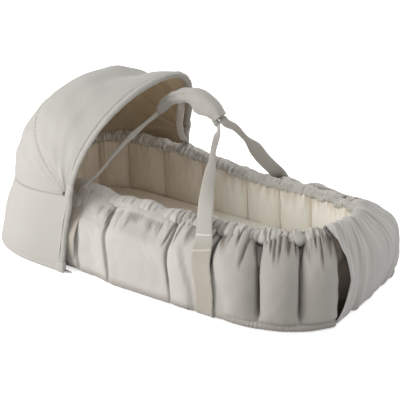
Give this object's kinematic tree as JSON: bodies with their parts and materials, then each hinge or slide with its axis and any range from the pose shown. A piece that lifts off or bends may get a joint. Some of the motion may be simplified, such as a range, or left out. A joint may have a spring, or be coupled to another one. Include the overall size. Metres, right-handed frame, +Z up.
{
  "type": "baby nest",
  "caption": "Soft quilted carrycot with a gathered rim, a cream lining, webbing carry loops joined in a padded grip, a bowed folding hood and a foot apron.",
  "frame": {"origin": "on the floor, below the centre of the whole object's box", "axes": "+X along the tub towards the foot end, +Y across it with the grip's flap on the -Y side, +Z up"},
  "size_m": [0.794, 0.425, 0.339],
  "materials": {
    "shell": "plain cotton weave",
    "hood": "plain cotton weave",
    "lining": "soft cotton",
    "webbing": "cross-woven cotton webbing",
    "wadding": "loose wadding",
    "mattress": "soft cotton",
    "board": "matt",
    "elastic": "braided cord",
    "bow": "satin",
    "metal": "satin"
  },
  "bodies": {
    "tub": {"base_panel": "shell", "base_board": "board", "mattress": "mattress", "outer_cover": "shell", "inner_lining": "lining", "side_bolster_01": "wadding", "side_bolster_02": "wadding", "side_bolster_03": "wadding", "side_bolster_04": "wadding", "side_bolster_05": "wadding", "side_bolster_06": "wadding", "side_bolster_07": "wadding", "side_bolster_08": "wadding", "side_bolster_09": "wadding", "side_bolster_10": "wadding", "side_bolster_11": "wadding", "side_bolster_12": "wadding", "side_bolster_13": "wadding", "side_bolster_14": "wadding", "side_bolster_15": "wadding", "side_bolster_16": "wadding", "side_bolster_17": "wadding", "side_bolster_18": "wadding", "side_bolster_19": "wadding", "side_bolster_20": "wadding", "rim_casing": "shell", "rim_elastic": "elastic", "foot_cover": "shell", "near_foot_wall_strap": "webbing", "near_head_wall_strap": "webbing", "far_foot_wall_strap": "webbing", "far_head_wall_strap": "webbing", "near_foot_strap_leg": "webbing", "near_head_strap_leg": "webbing", "far_foot_strap_leg": "webbing", "far_head_strap_leg": "webbing", "hood_skirt": "hood", "hood_stay_near": "bow", "hood_stay_far": "bow", "hood_sleeve_near": "hood", "hood_sleeve_far": "hood", "hood_pocket_near": "hood", "hood_pocket_far": "hood", "hood_pull_tab_near": "hood", "hood_pull_tab_far": "hood", "hood_rivet_near": "metal", "hood_rivet_far": "metal"},
    "hood_rear": {"hood_rear_bow": "bow", "hood_rear_gore": "hood"},
    "hood_front": {"hood_front_bow": "bow", "hood_front_casing": "hood", "hood_front_gore": "hood"},
    "handle": {"near_top_strap": "webbing", "far_top_strap": "webbing", "grip_pad": "shell", "grip_snap_stud": "metal"},
    "handle_wrap": {"grip_flap": "shell", "grip_snap_socket": "metal"}
  },
  "joints": [
    {"name": "hood_rear_fold", "type": "hinge", "parent": "tub", "child": "hood_rear", "pos_m": [-0.152, 0, 0.157], "axis": [0, 1, 0], "range_deg": [-31, 0], "deforming": ["hood_rear_gore"]},
    {"name": "hood_front_fold", "type": "hinge", "parent": "hood_rear", "child": "hood_front", "pos_m": [-0.152, 0, 0.157], "axis": [0, 1, 0], "range_deg": [-40, 0], "deforming": ["hood_front_gore"]},
    {"name": "handle_drop", "type": "slide", "parent": "tub", "child": "handle", "axis": [0, 0, 1], "range_m": [-0.155, 0], "deforming": ["near_foot_strap_leg", "near_head_strap_leg", "far_foot_strap_leg", "far_head_strap_leg"]},
    {"name": "grip_flap_open", "type": "hinge", "parent": "handle", "child": "handle_wrap", "pos_m": [0, -0.0108, 0.331], "axis": [-1, 0, 0], "range_deg": [0, 110]}
  ],
  "couplings": [
    {"joint": "hood_front_fold", "follows": "hood_rear_fold", "ratio": 1.2903}
  ]
}
